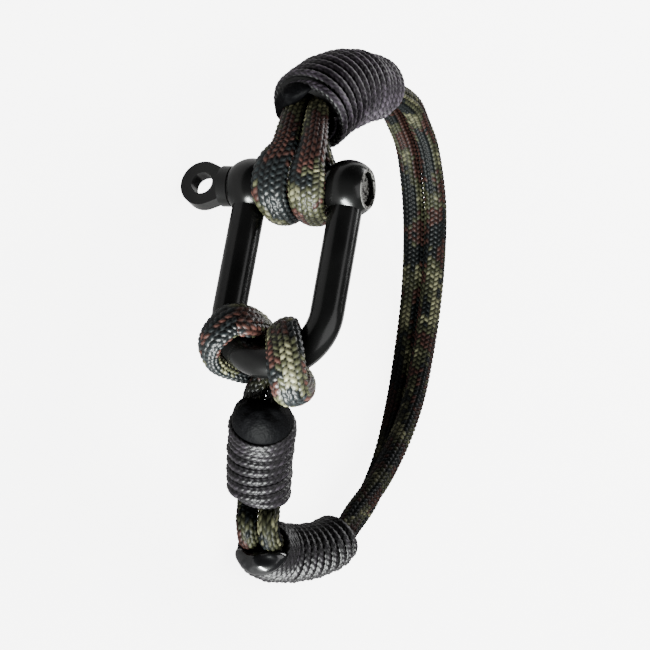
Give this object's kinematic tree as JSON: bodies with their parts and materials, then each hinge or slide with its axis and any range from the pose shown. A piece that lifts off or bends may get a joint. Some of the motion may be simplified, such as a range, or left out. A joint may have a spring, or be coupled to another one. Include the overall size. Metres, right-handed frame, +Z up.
{
  "type": "paracord bracelet",
  "caption": "Braided two-strand paracord bracelet closed by a bow shackle with a screw pin and an eyed head, with three twine whippings.",
  "frame": {"origin": "on the floor, at the middle of the bracelet's box, less than a millimetre from the middle of the wrist opening", "axes": "+Z up from the floor. The bracelet lies on its side and leans on the pin's head, so its ring axis leans 20 degrees from +Z towards +Y. +X runs from the top whipping towards the shackle's bow, +Y from the shackle across the wrist opening to the far strands."},
  "size_m": [0.082, 0.0582, 0.0298],
  "materials": {
    "steel_bow": "satin",
    "steel_pin": "satin",
    "paracord": "matte",
    "twine": "matte"
  },
  "bodies": {
    "bracelet": {"shackle_bow": "steel_bow", "pin_loop_upper": "paracord", "pin_loop_lower": "paracord", "band_strand_upper": "paracord", "band_strand_lower": "paracord", "hitch_cord": "paracord", "whipping_top": "twine", "whipping_bottom": "twine", "whipping_side": "twine", "end_cap_top": "twine", "end_cap_bottom": "twine", "end_cap_side": "twine"},
    "pin": {"screw_pin": "steel_pin"}
  },
  "joints": [
    {"name": "pin_slide", "type": "slide", "parent": "bracelet", "child": "pin", "axis": [0.023, -0.3404, -0.94], "range_m": [0, 0.022]}
  ]
}
